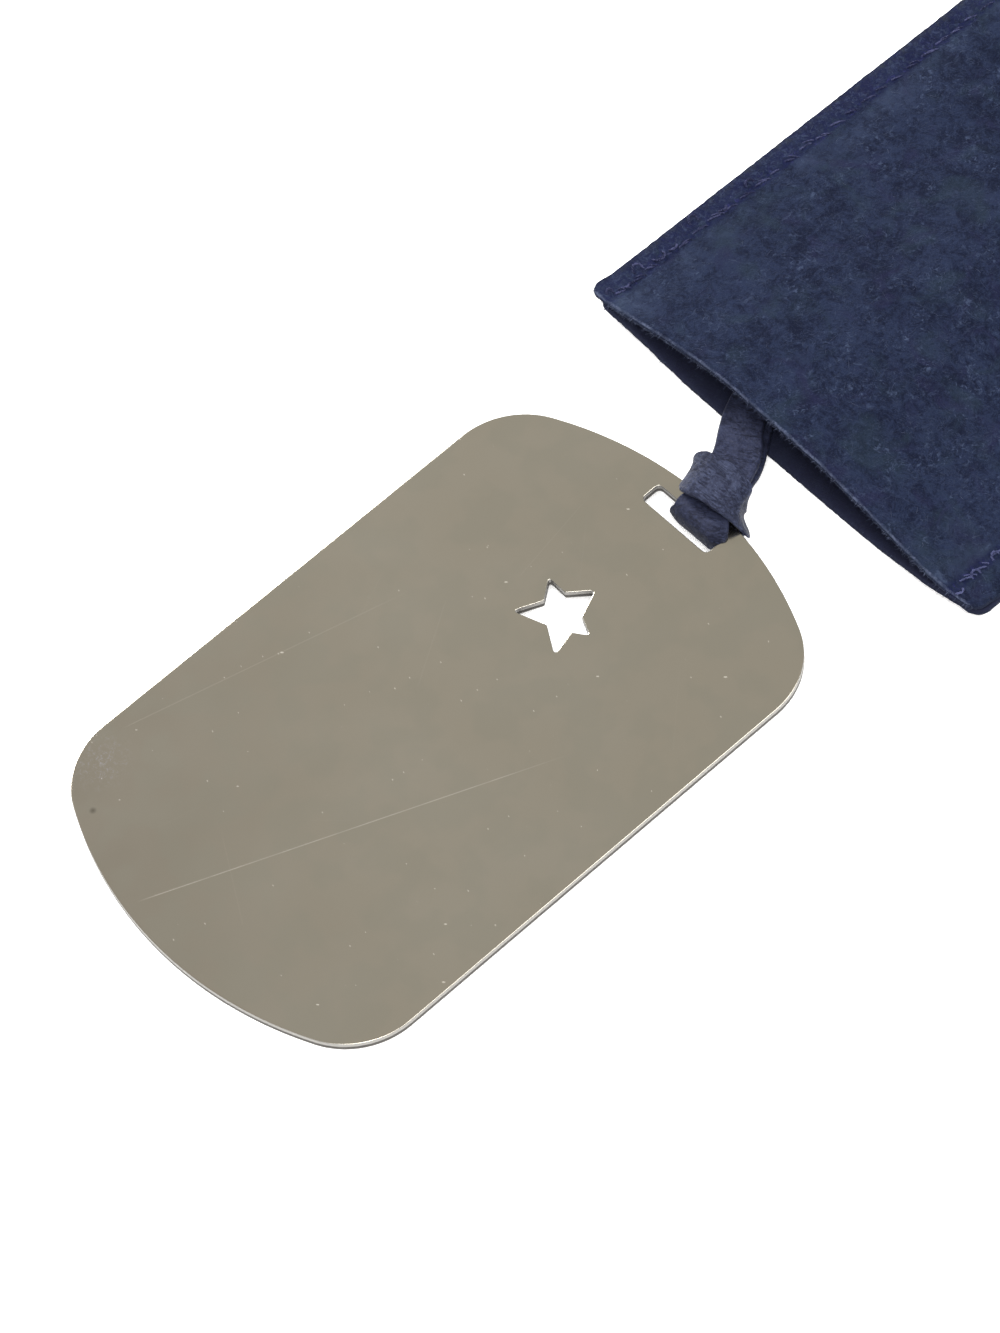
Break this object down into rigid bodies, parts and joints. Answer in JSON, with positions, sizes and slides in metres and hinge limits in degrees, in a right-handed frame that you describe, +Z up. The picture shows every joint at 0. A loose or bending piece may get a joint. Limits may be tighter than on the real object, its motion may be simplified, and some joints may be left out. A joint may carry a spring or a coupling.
{
  "type": "tag necklace with suede sleeve",
  "caption": "Polished steel tag with a star cut through it, hitched to a flat navy leather neck strap that runs on through a navy suede sleeve.",
  "frame": {"origin": "under the middle of the whole piece, on the surface that it lies on", "axes": "+Y from the tag towards the neck loop, +Z up from the surface"},
  "size_m": [0.1608, 0.435, 0.0073],
  "materials": {
    "steel": "polished, with fine scratches",
    "strap": "matt dyed leather with cut edges",
    "suede": "matt suede nap, worn lighter along its edges"
  },
  "bodies": {
    "root": {"tag_plate": "steel", "strand_upper": "strap", "strand_lower": "strap", "hitch_wrap": "strap", "neck_loop": "strap", "sleeve_front": "suede", "sleeve_back": "suede"}
  },
  "joints": []
}
